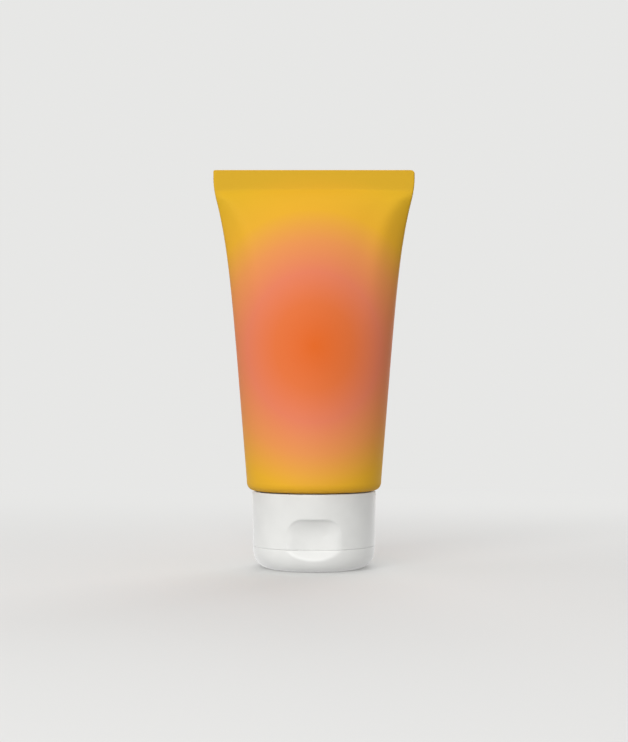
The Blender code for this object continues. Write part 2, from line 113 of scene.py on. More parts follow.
sleeve_low, sleeve_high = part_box("tube_sleeve")
tube_radius = sleeve_high.y
seal_half_width = sleeve_high.x
seal_foot_z = sleeve_high.z - SEAL_HEIGHT
corner_z = sleeve_low.z + SHOULDER_CORNER
corner_radius = tube_radius - SHOULDER_CORNER


def skin(name, grid, closing, finish):
    """A closed skin over a grid of points, whose rows run anticlockwise seen from above.

    Each four neighbours are joined by a face. The closing says what the first and last rows do:
    in a "loop" they join each other, at "poles" each is drawn together in one point, and when
    "pressed" the front half of each shares its points with the back half.
    """
    rows, columns = grid.shape[:2]
    number = np.arange(rows * columns).reshape(rows, columns)
    if closing == "pressed":
        for end in (0, -1):
            number[end, columns // 2 + 1 :] = number[end, 1 : columns // 2][::-1]
    if closing == "loop":
        number = np.vstack([number, number[:1]])
    beside = np.roll(number, -1, axis=1)
    quads = np.stack([number[:-1], beside[:-1], beside[1:], number[1:]], axis=-1)
    faces = quads.reshape(-1, 4).tolist()
    if closing == "poles":
        faces = quads[1:-1].reshape(-1, 4).tolist()
        first = np.full(columns, number[0, 0])
        last = np.full(columns, number[-1, 0])
        faces += np.stack([first, beside[1], number[1]], axis=-1).tolist()
        faces += np.stack([number[-2], beside[-2], last], axis=-1).tolist()
    used, corners = np.unique(np.concatenate(faces), return_inverse=True)
    ends = np.cumsum([len(face) for face in faces])
    faces = [part.tolist() for part in np.split(corners, ends[:-1])]
    mesh = bpy.data.meshes.new(name)
    mesh.from_pydata(grid.reshape(-1, 3)[used].tolist(), [], faces)
    mesh.shade_smooth()
    mesh.materials.append(finish)
    piece = bpy.data.objects.new(name, mesh)
    bpy.context.scene.collection.objects.link(piece)
    return piece


def smooth(share):
    """A smooth step: 0 below 0, 1 above 1, and level at both."""
    share = np.clip(share, 0, 1)
    return share * share * (3 - 2 * share)


def fill_out(part, power):
    """A sine or cosine raised to 2 over a power, with its sign kept, as in a superellipse."""
    return np.sign(part) * np.abs(part) ** (2 / power)


def arc(centre, radius, first, last, steps, power=2):
    """Points of an arc between two angles in degrees: distances from an axis and heights up it.

    A power above 2 fills out its corners, as in a superellipse.
    """
    turn = np.radians(np.linspace(first, last, steps + 1))
    across = centre[0] + radius * fill_out(np.cos(turn), power)
    return across, centre[1] + radius * fill_out(np.sin(turn), power)


class Wire:
    """A node's output. Python's operators on it add Math nodes."""

    def __init__(self, finish, socket):
        self.finish = finish
        self.socket = socket

    def math(self, operation, *values):
        """A Math node on this wire and the values, in that order."""
        return self.finish.node("Math", {"operation": operation}, dict(enumerate((self, *values))))

    def __add__(self, other):
        return self.math("ADD", other)

    __radd__ = __add__

    def __rsub__(self, other):
        return self.finish.node("Math", {"operation": "SUBTRACT"}, {0: other, 1: self})

    def __mul__(self, other):
        return self.math("MULTIPLY", other)

    __rmul__ = __mul__

    def rise(self, low, high):
        """0 below one value, 1 above the other, and a smooth step between them."""
        values = {"Value": self, "From Min": low, "From Max": high}
        return self.finish.node("MapRange", {"interpolation_type": "SMOOTHSTEP"}, values)


class Finish:
    """The nodes of a material or world, round its own shader. One method adds any other node."""

    def __init__(self, owner, shader="Principled BSDF"):
        owner.use_nodes = True
        self.owner = owner
        self.nodes = owner.node_tree.nodes
        self.links = owner.node_tree.links
        self.shader = self.nodes[shader]

    def feed(self, socket, value):
        """Links a wire to a socket, or sets the socket's own value."""
        if isinstance(value, Wire):
            self.links.new(value.socket, socket)
        else:
            socket.default_value = value

    def node(self, kind, settings, values, output=0):
        """A node of a kind: its settings come first, then the value or wire of each socket."""
        added = self.nodes.new("ShaderNode" + kind)
        for setting, value in settings.items():
            if setting == "stops":
                ramp = added.color_ramp.elements
                for place, colour in value[2:]:
                    ramp.new(place)
                for element, (place, colour) in zip(ramp, value):
                    element.position = place
                    element.color = colour
            else:
                setattr(added, setting, value)
        for name, value in values.items():
            self.feed(added.inputs[name], value)
        return Wire(self, added.outputs[output])

    def object_point(self):
        """Each point's place in the frame."""
        return self.node("TexCoord", {}, {}, "Object")

    def noise(self, size):
        """Noise from 0 to 1 with patches of about a size."""
        return self.node("TexNoise", {}, {"Vector": self.object_point(), "Scale": 1 / size})

    def give(self, **values):
        """Sets or feeds the shader's sockets, named in lower case with underscores for spaces."""
        for name, value in values.items():
            title = name.replace("_", " ").title().replace("Ior", "IOR")
            self.feed(self.shader.inputs[title], value)

    def relief(self, share, height):
        """Raises the surface by a share, from 0 to 1, of a height."""
        values = {"Strength": 1.0, "Distance": height, "Height": share}
        self.give(normal=self.node("Bump", {}, values))

    def surface(self, roughness, variation, patch, grain, height):
        """Roughness that grows by a variation in soft patches, and a fine grain of a height."""
        self.give(roughness=self.noise(patch) * variation + roughness)
        self.relief(self.noise(grain), height)

    def looked_at(self):
        """1 for what the camera sees, directly, in a gloss or through something clear, and else 0."""
        rays = ("Is Camera Ray", "Is Glossy Ray", "Is Transmission Ray")
        camera, gloss, clear = (self.node("LightPath", {}, {}, ray) for ray in rays)
        return camera.math("MAXIMUM", gloss).math("MAXIMUM", clear)


def paint(red, green, blue):
    """A colour as a screen shows it, 0 to 255, in linear light with full cover."""
    shares = np.array([red, green, blue]) / 255
    linear = np.where(shares <= 0.04045, shares / 12.92, ((shares + 0.055) / 1.055) ** 2.4)
    return (*linear.tolist(), 1.0)


def printed_sleeve():
    """Satin print: a soft oval blend from orange through coral to yellow, over a fine grain."""
    finish = Finish(bpy.data.materials.new("printed_sleeve"))
    centred = {"Location": (0, 0, -GLOW_HEIGHT), "Scale": (GLOW_SQUEEZE, 0, 1)}
    point = finish.node("Mapping", {}, {"Vector": finish.object_point(), **centred})
    distance = finish.node("VectorMath", {"operation": "LENGTH"}, {0: point}, "Value")
    places = (far * MM / GLOW_REACH for far in GLOW_STOPS_MM)
    colours = (GLOW_ORANGE, GLOW_WARM, GLOW_CORAL, GLOW_APRICOT, GLOW_YELLOW, GLOW_GOLD)
    stops = [(place, paint(*colour)) for place, colour in zip(places, colours)]
    blend = finish.node("ValToRGB", {"stops": stops}, {"Fac": distance * (1 / GLOW_REACH)})
    finish.give(base_color=blend, specular_ior_level=PRINT_GLOSS)
    finish.surface(**PRINT_SURFACE)
    return finish.owner


def section(angle, half_width, half_depth, flat, power):
    """Rows of the sleeve across its axis, one for each set of sizes.

    x is the half-width times the angle's cosine. y is the half-depth times the angle's sine to
    a power, plus the flat thickness of the pressed walls, whose two side edges are half round.
    """
    x = half_width * np.cos(angle)
    side = np.sin(angle)
    inside = half_width * (1 - np.abs(np.cos(angle)))
    edge = np.sqrt(1 - np.clip(1 - inside / SLEEVE_WALL, 0, 1) ** 2)
    y = np.sign(side) * (half_depth * np.abs(side) ** power + flat * edge)
    return x, y


def sleeve_sizes(share, inset):
    """Half-width, half-depth, flat thickness, power and height at shares of the sleeve's height.

    The half-width flares steadily and then faster towards the seal. The half-depth falls from
    the tube's radius to nothing, and lands softly on the seal. The section turns from an oval to
    a pointed lens on the way. The inside is the same shape, inset by the wall.
    """
    z = corner_z + (seal_foot_z - corner_z) * share
    flare = STEADY_FLARE_SHARE * share + LATE_FLARE_SHARE * share**LATE_FLARE_POWER
    half_width = tube_radius + (seal_half_width - tube_radius) * flare - inset
    bulge = tube_radius * (1 - share**DEPTH_RISE_POWER) ** DEPTH_FALL_POWER
    bulge = bulge * (1 - np.exp((z - seal_foot_z) / SEAL_LANDING))
    flat = SLEEVE_WALL * share**SEAL_GROWTH_POWER
    flat = np.clip(flat + bulge - inset, 0, flat)
    power = 1 + LENS_GROWTH * share**2
    return half_width, np.maximum(bulge - inset, 0), flat, power, z


def fold(x, half_width, z):
    """How far the walls stand out along the soft folds that start at the seal's two ends.

    The line of a fold leaves the side edge under the seal, bends inwards and runs on down at a
    steady share of the half-width. Across the line the fold is a bell. It fades out further down.
    """
    down = np.maximum(seal_foot_z - z, 0)
    line = half_width * (FOLD_PLACE + FOLD_SPREAD * np.exp(-down / FOLD_TURN))
    bell = np.exp(-(((np.abs(x) - line) / FOLD_HALF_WIDTH) ** 2))
    return FOLD_HEIGHT * bell * smooth(down / FOLD_START) * smooth(1 - down / FOLD_END)


def make_sleeve():
    """The sleeve's skin: down its inside, round its hem, up its outside and over the seal."""
    rows = []

    def add(half_width, half_depth, flat, power, z):
        rows.append(np.stack(np.broadcast_arrays(half_width, half_depth, flat, power, z), axis=-1))

    add(*sleeve_sizes(np.linspace(1, 0, INNER_ROWS), SLEEVE_WALL))
    centre = (corner_radius, corner_z)
    radius, z = arc(centre, SHOULDER_CORNER - SLEEVE_WALL, 0, -90, BEND_STEPS)
    add(radius, radius, 0, 1, z)
    hem = corner_radius - SLEEVE_HEM
    add(hem, hem, 0, 1, np.array([sleeve_low.z + SLEEVE_WALL, sleeve_low.z]))
    radius, z = arc(centre, SHOULDER_CORNER, -90, 0, SHOULDER_STEPS, SHOULDER_POWER)
    add(radius, radius, 0, 1, z)
    share = 1 - (1 - np.linspace(0, 1, OUTER_ROWS)[1:]) ** OUTER_CROWDING
    add(*sleeve_sizes(share, 0))
    corner_foot = sleeve_high.z - SEAL_CORNER_RIGHT
    edge_foot = sleeve_high.z - SEAL_EDGE
    add(seal_half_width, 0, SLEEVE_WALL, 1, np.linspace(seal_foot_z, corner_foot, SEAL_ROWS)[1:])
    add(seal_half_width, 0, SLEEVE_WALL, 1, np.linspace(corner_foot, edge_foot, SEAL_CORNER_ROWS)[1:])
    flat, z = arc((SLEEVE_WALL - SEAL_EDGE, edge_foot), SEAL_EDGE, 0, 90, EDGE_STEPS)
    add(seal_half_width, 0, flat[1:], 1, z[1:])
    add(seal_half_width, 0, np.array([SEAL_EDGE, 0]), 1, sleeve_high.z)
    half_width, half_depth, flat, power, z = np.moveaxis(np.concatenate(rows), 1, 0)[..., None]
    angle = np.linspace(0, 2 * math.pi, SLEEVE_COLUMNS, endpoint=False)
    z = z + 0 * angle
    x, y = section(angle, half_width, half_depth, flat, power)
    y += np.sin(angle) * fold(x, half_width, z)

    # The side edges are rounded, by a parabola where the flare meets the seal, and by an arc at
    # the seal's top corners
    flare = STEADY_FLARE_SHARE + LATE_FLARE_SHARE * LATE_FLARE_POWER
    slope = flare * (seal_half_width - tube_radius) / (seal_foot_z - corner_z)
    near = np.maximum(SIDE_ROUNDING - np.abs(z - seal_foot_z), 0)
    x *= 1 - slope * near**2 / (4 * SIDE_ROUNDING * seal_half_width)
    rounding = np.where(x > 0, SEAL_CORNER_RIGHT, SEAL_CORNER_LEFT)
    above = np.clip(1 - (sleeve_high.z - z) / rounding, 0, 1)
    x -= np.sign(x) * rounding * (1 - np.sqrt(1 - above**2)) * np.abs(np.cos(angle))
    return skin("sleeve", np.stack([x, y, z], axis=-1), "pressed", printed_sleeve())


sleeve = make_sleeve()
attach(sleeve, "tube")
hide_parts("tube_sleeve")


# Head: the shoulder and threaded neck, moulded in milky plastic without print or paint. Its short
# skirt stands inside the sleeve's foot, and its neck screws down into the cap.
HEAD_WALL = 1.3 * MM
SHOULDER_DROP = 1.5 * MM
NECK_WALL = 1.6 * MM
NECK_LEAD = 0.4 * MM
NECK_FILLET = 0.6 * MM
MOULDED_EDGE = 0.15 * MM
THREAD_PITCH = 3.0 * MM
THREAD_DEPTH = 1.0 * MM
THREAD_START = 1.8 * MM
THREAD_TURNS = 1.5
THREAD_BASE_SHARE = 0.50
THREAD_CREST_SHARE = 0.23
THREAD_RAMP_SHARE = 0.12
FINE_ROWS = 0.12 * MM
COARSE_ROWS = 1.5 * MM
ROUNDING_STEPS = 4
HEAD_COLUMNS = 256
HEAD_MILK = (228, 226, 215)
HEAD_THIN = (216, 212, 198)
HEAD_PATCH = 9 * MM
HEAD_BLUR = 0.15
HEAD_SURFACE = {
    "roughness": 0.42, "variation": 0.10, "patch": 2 * MM, "grain": 0.25 * MM, "height": 0.004 * MM
}

head_low, head_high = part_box("tube_head")
neck_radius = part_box("gasket_ring")[1].x
neck_bore = neck_radius - NECK_WALL
head_bend = head_high.x - corner_radius
head_face_z = corner_z - head_bend
neck_root_z = head_face_z - SHOULDER_DROP


def outline(corners, loop=True):
    """A profile through corners, each a radius, a height, a rounding and a spacing.

    Each corner is drawn as a short curve that starts and ends its rounding away from it. On the
    straight stretch after it the points are no further apart than its spacing. Returns a radius,
    a height and the number of the corner for each point, as columns.
    """
    count = len(corners)
    places = [np.array(corner[:2]) for corner in corners]
    curves = []
    for i, here in enumerate(places):
        rounding = corners[i][2]
        before, after = places[i - 1] - here, places[(i + 1) % count] - here
        if rounding == 0:
            curves.append(here[None])
            continue
        t = np.linspace(0, 1, ROUNDING_STEPS + 1)[:, None]
        start = here + before * rounding / np.linalg.norm(before)
        end = here + after * rounding / np.linalg.norm(after)
        curves.append((1 - t) ** 2 * start + 2 * t * (1 - t) * here + t**2 * end)
    stretches = []
    for i, curve in enumerate(curves):
        span = curves[(i + 1) % count][0] - curve[-1]
        steps = math.ceil(np.linalg.norm(span) / corners[i][3]) if loop or i < count - 1 else 1
        between = curve[-1] + span * np.arange(1, steps)[:, None] / steps
        stretches.append(np.concatenate([curve, between]))
    profile = np.concatenate(stretches)
    corner = np.repeat(np.arange(count), [len(stretch) for stretch in stretches])
    return profile[:, :1], profile[:, 1:], corner[:, None]


def thread_ridge(angle, z, start, turns):
    """How far a thread's ridge stands out of a wall, from 0 to 1.

    The ridge climbs one pitch each turn from its start. Its flanks fall from crest to foot as
    the height moves away from its middle line, and it fades out towards both ends.
    """
    half_foot = THREAD_PITCH * THREAD_BASE_SHARE / 2
    half_crest = THREAD_PITCH * THREAD_CREST_SHARE / 2
    ridge = 0 * (angle + z)
    for lap in range(math.ceil(turns)):
        turn = angle / (2 * math.pi) + lap
        away = np.abs(z - start - THREAD_PITCH * turn)
        flank = smooth((half_foot - away) / (half_foot - half_crest))
        fade = smooth(np.minimum(turn, turns - turn) / (turns * THREAD_RAMP_SHARE))
        ridge = np.maximum(ridge, flank * fade)
    return ridge


def round_axis(radius, angle, z):
    """Points at radii and angles round the axis, and at heights."""
    return np.stack(np.broadcast_arrays(radius * np.cos(angle), radius * np.sin(angle), z), axis=-1)


def cloud(finish, size, blur, first, second):
    """Patches of about a size in two colours, which run into each other over twice the blur."""
    stops = [(0.5 - blur, paint(*first)), (0.5 + blur, paint(*second))]
    return finish.node("ValToRGB", {"stops": stops}, {"Fac": finish.noise(size)})


def milky_plastic():
    """Unprinted plastic, a little yellower where the light goes through a thin place."""
    finish = Finish(bpy.data.materials.new("milky_plastic"))
    finish.give(base_color=cloud(finish, HEAD_PATCH, HEAD_BLUR, HEAD_THIN, HEAD_MILK))
    finish.surface(**HEAD_SURFACE)
    return finish.owner


def make_head():
    """The head's profile carried round the axis, with the thread's ridge on its neck."""
    mouth = head_low.z
    centre = (corner_radius, corner_z)
    corners = [
        (neck_bore, mouth, MOULDED_EDGE, COARSE_ROWS),
        (neck_radius - NECK_LEAD, mouth, MOULDED_EDGE, COARSE_ROWS),
        (neck_radius, mouth + NECK_LEAD, MOULDED_EDGE, FINE_ROWS),
        (neck_radius, mouth + THREAD_START + (THREAD_TURNS + 1) * THREAD_PITCH, 0, COARSE_ROWS),
        (neck_radius, neck_root_z, NECK_FILLET, COARSE_ROWS),
    ]
    for radius, z in zip(*arc(centre, head_bend, -90, 0, BEND_STEPS)):
        corners.append((radius, z, 0, COARSE_ROWS))
    corners.append((head_high.x, head_high.z, MOULDED_EDGE, COARSE_ROWS))
    corners.append((head_high.x - HEAD_WALL, head_high.z, MOULDED_EDGE, COARSE_ROWS))
    for radius, z in zip(*arc(centre, head_bend - HEAD_WALL, 0, -90, BEND_STEPS)):
        corners.append((radius, z, 0, COARSE_ROWS))
    corners.append((neck_bore, neck_root_z + HEAD_WALL, NECK_FILLET, COARSE_ROWS))
    radius, z, _ = outline(corners)
    angle = np.linspace(0, 2 * math.pi, HEAD_COLUMNS, endpoint=False)
    ridge = thread_ridge(angle, z, mouth + THREAD_START, THREAD_TURNS)
    radius = radius + np.where(np.isclose(radius, neck_radius), ridge * THREAD_DEPTH, 0)
    return skin("head", round_axis(radius, angle, z), "loop", milky_plastic())


head = make_head()
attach(head, "tube")
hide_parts("tube_head")


# Gasket: a flat ring punched from a sheet of closed-cell foam. The neck's mouth is screwed down
# on it, and has pressed a shallow groove into its top.
GASKET_WIDTH = 4.4 * MM
GASKET_EDGE = 0.12 * MM
GASKET_ROWS = 0.3 * MM
GROOVE_DEPTH = 0.06 * MM
GROOVE_HALF_WIDTH = 0.7 * MM
GASKET_COLUMNS = 128
FOAM_PALE = (207, 211, 214)
FOAM_DARK = (178, 183, 187)
FOAM_PALE_END = 0.2
FOAM_DARK_START = 0.9
FOAM_CELL = 0.22 * MM
FOAM_RELIEF = 0.03 * MM
FOAM_ROUGHNESS = 0.9

gasket_low, gasket_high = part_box("gasket_ring")


def closed_foam():
    """Fine foam: small round cells, darker where they meet."""
    finish = Finish(bpy.data.materials.new("closed_foam"))
    cells = finish.node("TexVoronoi", {}, {"Vector": finish.object_point(), "Scale": 1 / FOAM_CELL})
    stops = [(FOAM_PALE_END, paint(*FOAM_PALE)), (FOAM_DARK_START, paint(*FOAM_DARK))]
    tone = finish.node("ValToRGB", {"stops": stops}, {"Fac": cells})
    finish.give(base_color=tone, roughness=FOAM_ROUGHNESS)
    finish.relief(1 - cells, FOAM_RELIEF)
    return finish.owner


def make_gasket():
    """A ring with small round edges, whose top dips in a bell curve under the neck's mouth."""
    inner, low, high = neck_radius - GASKET_WIDTH, gasket_low.z, gasket_high.z
    ring = [(inner, low), (neck_radius, low), (neck_radius, high), (inner, high)]
    radius, z, _ = outline([(*corner, GASKET_EDGE, GASKET_ROWS) for corner in ring])
    middle = neck_radius - NECK_WALL / 2
    dip = GROOVE_DEPTH * np.exp(-(((radius - middle) / GROOVE_HALF_WIDTH) ** 4))
    z = z - np.where(z > (low + high) / 2, dip, 0)
    angle = np.linspace(0, 2 * math.pi, GASKET_COLUMNS, endpoint=False)
    return skin("gasket", round_axis(radius, angle, z), "loop", closed_foam())


gasket = make_gasket()
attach(gasket, "gasket")
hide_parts("gasket_ring")


# Cap base: moulded in white plastic in one shot with the lid and the hinge. It has a smooth outer
# skirt with a thumb recess, and a deck with a spout under it and a threaded inner skirt on it.
CAP_WALL = 1.3 * MM
CAP_EDGE = 0.25 * MM
DECK_THICKNESS = 1.6 * MM
PARTING_GAP = 0.06 * MM
KNEE_DRAFT_SHARE = 0.6
KNEE_ABOVE_RECESS = 2.55 * MM
BACKING_ABOVE_RECESS = 4.08 * MM
ORIFICE_RADIUS = 2.5 * MM
SPOUT_RADIUS = 3.8 * MM
SNAP_RING_RADIUS = 18.65 * MM
SNAP_RING_WALL = 1.0 * MM
SNAP_RING_HEIGHT = 1.2 * MM
THREAD_CLEARANCE = 0.35 * MM
INNER_SKIRT_DROP = 2.4 * MM
RECESS_DEPTH = 2.3 * MM
RECESS_RISE = 10.2 * MM
RECESS_CORNER = 5.6 * MM
RECESS_FILLET = 1.0 * MM
RECESS_SWEEP = 8.5 * MM
RECESS_POWER = 3.0
RECESS_BLEND = 0.5 * MM
LIP_DEPTH = 1.9 * MM
LID_WALL = 1.45 * MM
NOTCH_GAP = 1.0 * MM
SEAT_GAP = 0.3 * MM
PAD_HALF_WIDTH = 7.3 * MM
PAD_REACH = 4.4 * MM
PAD_EDGE = 0.4 * MM
SKIRT_ROWS = 0.2 * MM
CAP_COLUMNS = 300
CAP_SPOTS = ((270, 30, 3), (69, 3, 4), (111, 3, 4))
DENSITY_STEPS = 7200
NUT_TURNS = 1.25
RIB_COUNT = 6
RIB_THICKNESS = 1.0 * MM
RIB_HEIGHT = 9.5 * MM
RIB_EDGE = 0.3 * MM
BAR_COLUMNS = 32
BAR_POWER = 8
CAP_WHITE = (230, 230, 227)
CAP_SHADE = (225, 225, 222)
CAP_PATCH = 8 * MM
CAP_BLUR = 0.2
CAP_GLOSS = {"sheen_weight": 1.0, "sheen_roughness": 0.4, "specular_ior_level": 0.4}
CAP_SURFACE = {
    "roughness": 0.26, "variation": 0.08, "patch": 3 * MM, "grain": 0.3 * MM, "height": 0.003 * MM
}

cap_low, cap_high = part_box("cap_base")
web_low, web_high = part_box("hinge_web")
cap_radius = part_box("flip_lid")[1].x
parting_z = (web_low.z + web_high.z) / 2
pad_face = web_low.y - SEAT_GAP
deck_z = parting_z + PARTING_GAP / 2
deck_top_z = deck_z + DECK_THICKNESS
nut_root = neck_radius + THREAD_DEPTH + THREAD_CLEARANCE
recess_floor = cap_radius - RECESS_DEPTH
recess_half_width = math.sqrt(cap_radius**2 - recess_floor**2)
lip_face = cap_radius - LIP_DEPTH


def crowded_angles(count, spots):
    """Angles once round the axis, closer together at the spots.

    Each spot is a direction and a half-width in degrees, and how much denser the angles are there.
    The density is 1 plus a flat-topped bell at each spot, and its running sum is shared out evenly.
    """
    turn = np.linspace(0, 360, DENSITY_STEPS, endpoint=False)
    density = np.ones_like(turn)
    for direction, half_width, more in spots:
        away = np.abs((turn - direction + 180) % 360 - 180)
        density += more * np.exp(-((away / half_width) ** 4))
    total = np.concatenate([[0], np.cumsum(density)])
    shares = np.arange(count) / count * total[-1]
    return np.radians(np.interp(shares, total, np.linspace(0, 360, DENSITY_STEPS + 1)))


def push_back(y, plane):
    """How far a front wall moves back to lie behind a plane, eased in by a parabola."""
    near = np.maximum(RECESS_BLEND - np.abs(y - plane), 0)
    return np.maximum(plane - y, 0) + near * near / (4 * RECESS_BLEND)


def thumb_recess(wall, floor, margin):
    """How far a front wall moves back inside the recess's outline, grown by a margin.

    The outline has two round upper corners and is open below. From the outline inwards the wall
    turns in softly and sinks in a sweep, steep at first, that runs out into a flat floor.
    """
    x, y, z = np.moveaxis(wall, -1, 0)
    corner = RECESS_CORNER + margin
    across = np.abs(x) - (recess_half_width + margin - corner)
    up = z - (deck_z + RECESS_RISE + margin - corner)
    beyond = np.hypot(np.maximum(across, 0), np.maximum(up, 0))
    beyond += np.minimum(np.maximum(across, up), 0)
    inside = np.maximum(corner - beyond, 0)
    sweep = 1 - (1 - np.minimum(inside / RECESS_SWEEP, 1)) ** RECESS_POWER
    return push_back(y, -floor) * sweep * smooth(inside / RECESS_FILLET)


def hinge_pad(wall):
    """How far a back wall moves out to the hinge's flat pad, with a smooth step at its edges."""
    x, y, z = np.moveaxis(wall, -1, 0)
    inside = np.minimum(PAD_HALF_WIDTH - np.abs(x), PAD_REACH - np.abs(z - parting_z))
    return (pad_face - y) * smooth(inside / PAD_EDGE) * (y > 0)


def white_plastic():
    """White moulded plastic with a soft gloss, a faint cloud in its colour and a very fine grain."""
    finish = Finish(bpy.data.materials.new("white_plastic"))
    finish.give(base_color=cloud(finish, CAP_PATCH, CAP_BLUR, CAP_SHADE, CAP_WHITE), **CAP_GLOSS)
    finish.surface(**CAP_SURFACE)
    return finish.owner


def make_cap():
    """The base's profile carried round the axis, then its thread, recess, hinge pad and notch."""
    snap_inner = SNAP_RING_RADIUS - SNAP_RING_WALL
    snap_z = deck_z - SNAP_RING_HEIGHT
    skirt_top = cap_high.z - INNER_SKIRT_DROP
    nut_outer = nut_root + CAP_WALL
    skirt_inner = cap_radius - CAP_WALL
    knee_radius = cap_radius + (cap_high.x - cap_radius) * KNEE_DRAFT_SHARE
    knee_z = deck_z + RECESS_RISE + KNEE_ABOVE_RECESS
    backing_z = deck_top_z + RECESS_RISE + BACKING_ABOVE_RECESS
    corners = [
        (SNAP_RING_RADIUS, deck_z, MOULDED_EDGE, 4 * SKIRT_ROWS),
        (cap_radius, deck_z, MOULDED_EDGE, SKIRT_ROWS),
        (cap_radius, deck_z + 2 * CAP_EDGE, 0, SKIRT_ROWS),
        (knee_radius, knee_z, 0, COARSE_ROWS),
        (cap_high.x, cap_high.z, CAP_EDGE, COARSE_ROWS),
        (cap_high.x - CAP_WALL, cap_high.z, CAP_EDGE, COARSE_ROWS),
        (skirt_inner, backing_z, 0, 2 * SKIRT_ROWS),
        (skirt_inner, deck_top_z, 2 * CAP_EDGE, COARSE_ROWS),
        (nut_outer, deck_top_z, 2 * CAP_EDGE, COARSE_ROWS),
        (nut_outer, skirt_top, MOULDED_EDGE, COARSE_ROWS),
        (nut_root, skirt_top, MOULDED_EDGE, FINE_ROWS),
        (nut_root, deck_top_z, CAP_EDGE, COARSE_ROWS),
        (ORIFICE_RADIUS, deck_top_z, CAP_EDGE, COARSE_ROWS),
        (ORIFICE_RADIUS, cap_low.z, MOULDED_EDGE, COARSE_ROWS),
        (SPOUT_RADIUS, cap_low.z, 2 * CAP_EDGE, COARSE_ROWS),
        (SPOUT_RADIUS, deck_z, CAP_EDGE, COARSE_ROWS),
        (snap_inner, deck_z, MOULDED_EDGE, SKIRT_ROWS),
        (snap_inner, snap_z, MOULDED_EDGE, SKIRT_ROWS),
        (SNAP_RING_RADIUS, snap_z, MOULDED_EDGE, SKIRT_ROWS),
    ]
    radius, z, _ = outline(corners)
    angle = crowded_angles(CAP_COLUMNS, CAP_SPOTS)
    start = head_low.z + THREAD_START + THREAD_PITCH / 2
    ridge = thread_ridge(angle, z, start, NUT_TURNS)
    depth = THREAD_DEPTH * np.where(np.isclose(radius, nut_root), ridge, 0)
    grid = round_axis(radius - depth, angle, z)
    x, y, z = np.moveaxis(grid, -1, 0)

    # The underside follows the outer wall by the share of its way out from the snap ring
    inner_row = (radius < cap_radius - CAP_WALL / 2) & (z > deck_z + CAP_EDGE)
    wall = round_axis(np.maximum(radius, cap_radius), angle, z)
    moved = thumb_recess(wall, recess_floor, 0) + hinge_pad(wall)
    follow = np.clip((radius - snap_inner) / (cap_radius - snap_inner), 0, 1)
    y = y + np.where(inner_row, 0, moved * follow)

    # The deck's top follows the inner wall of the skirt in the same way
    skirt = np.maximum(radius, skirt_inner)
    moved = thumb_recess(round_axis(skirt, angle, z), recess_floor - CAP_WALL, CAP_WALL)
    follow = np.clip((radius - nut_outer) / (skirt - nut_outer), 0, 1)
    y = y + np.where(inner_row, moved * follow, 0)

    # The snap ring is left out where the lid's lip would be in its way
    notch = smooth((LID_WALL + NOTCH_GAP - lip_face - y) / MOULDED_EDGE)
    z = z + (deck_z - z) * np.where((z < deck_z) & (radius > SPOUT_RADIUS), notch, 0)
    return skin("cap", np.stack([x, y, z], axis=-1), "loop", white_finish)


def bar(half_width, half_depth, z):
    """A bar carried up its height. Each row is a superellipse: a box with small round corners."""
    angle = np.linspace(0, 2 * math.pi, BAR_COLUMNS, endpoint=False)
    x = half_width * fill_out(np.cos(angle), BAR_POWER)
    y = half_depth[:, None] * fill_out(np.sin(angle), BAR_POWER)
    return x + 0 * y, y, z[:, None] + 0 * y


def make_rib(number):
    """A rib between the two skirts, with a round top. Its ends and foot are inside the base."""
    inner = nut_root + CAP_WALL / 2
    outer = cap_radius - CAP_WALL / 2
    low = deck_top_z - DECK_THICKNESS / 2
    top = deck_top_z + RIB_HEIGHT
    centre = (RIB_THICKNESS / 2 - RIB_EDGE, top - RIB_EDGE)
    depth, height = arc(centre, RIB_EDGE, 0, 90, EDGE_STEPS)
    half_depth = np.array([0, RIB_THICKNESS / 2, *depth, 0])
    x, y, z = bar((outer - inner) / 2, half_depth, np.array([low, low, *height, top]))
    x = x + (inner + outer) / 2
    turn = 2 * math.pi * number / RIB_COUNT
    across = x * math.cos(turn) - y * math.sin(turn)
    along = x * math.sin(turn) + y * math.cos(turn)
    return skin(f"cap_rib_{number}", np.stack([across, along, z], axis=-1), "pressed", white_finish)


white_finish = white_plastic()
cap = make_cap()
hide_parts("cap_base")
for piece in (cap, *(make_rib(number) for number in range(RIB_COUNT))):
    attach(piece, "cap")


# Lid: a shallow dish, moulded with the base. The tube stands on its flat. It has a lip for the
# thumb, a pin that plugs the orifice, and a ring that closes round the spout.
LID_FLOOR = 1.2 * MM
LID_FLAT_SHARE = 0.71
LID_STRAIGHT = 0.45 * MM
LID_CORNER_POWER = 2.19
LID_SIDE_STEPS = 64
LIP_LEAN = 0.48
PIN_RADIUS = 2.15 * MM
PIN_ROUND = 0.8 * MM
SEAL_RING_RADIUS = 5.2 * MM
SEAL_RING_WALL = 0.8 * MM
SEAL_RING_HEIGHT = 5.2 * MM
FLOOR_BOSS_STEP = 0.3 * MM
GATE_RADIUS = 2.0 * MM
GATE_DEPTH = 0.3 * MM

pin_tip_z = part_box("flip_lid")[1].z
lid_rim_z = parting_z - PARTING_GAP / 2


def lid_side(rim_radius, flat_radius, low, steps):
    """Corners of a profile down the lid's round side, a quarter of a superellipse."""
    turn = np.linspace(0, math.pi / 2, steps)
    top = parting_z - LID_STRAIGHT
    radii = flat_radius + (rim_radius - flat_radius) * fill_out(np.cos(turn), LID_CORNER_POWER)
    heights = top - (top - low) * fill_out(np.sin(turn), LID_CORNER_POWER)
    return [(radius, z, 0, COARSE_ROWS) for radius, z in zip(radii, heights)]


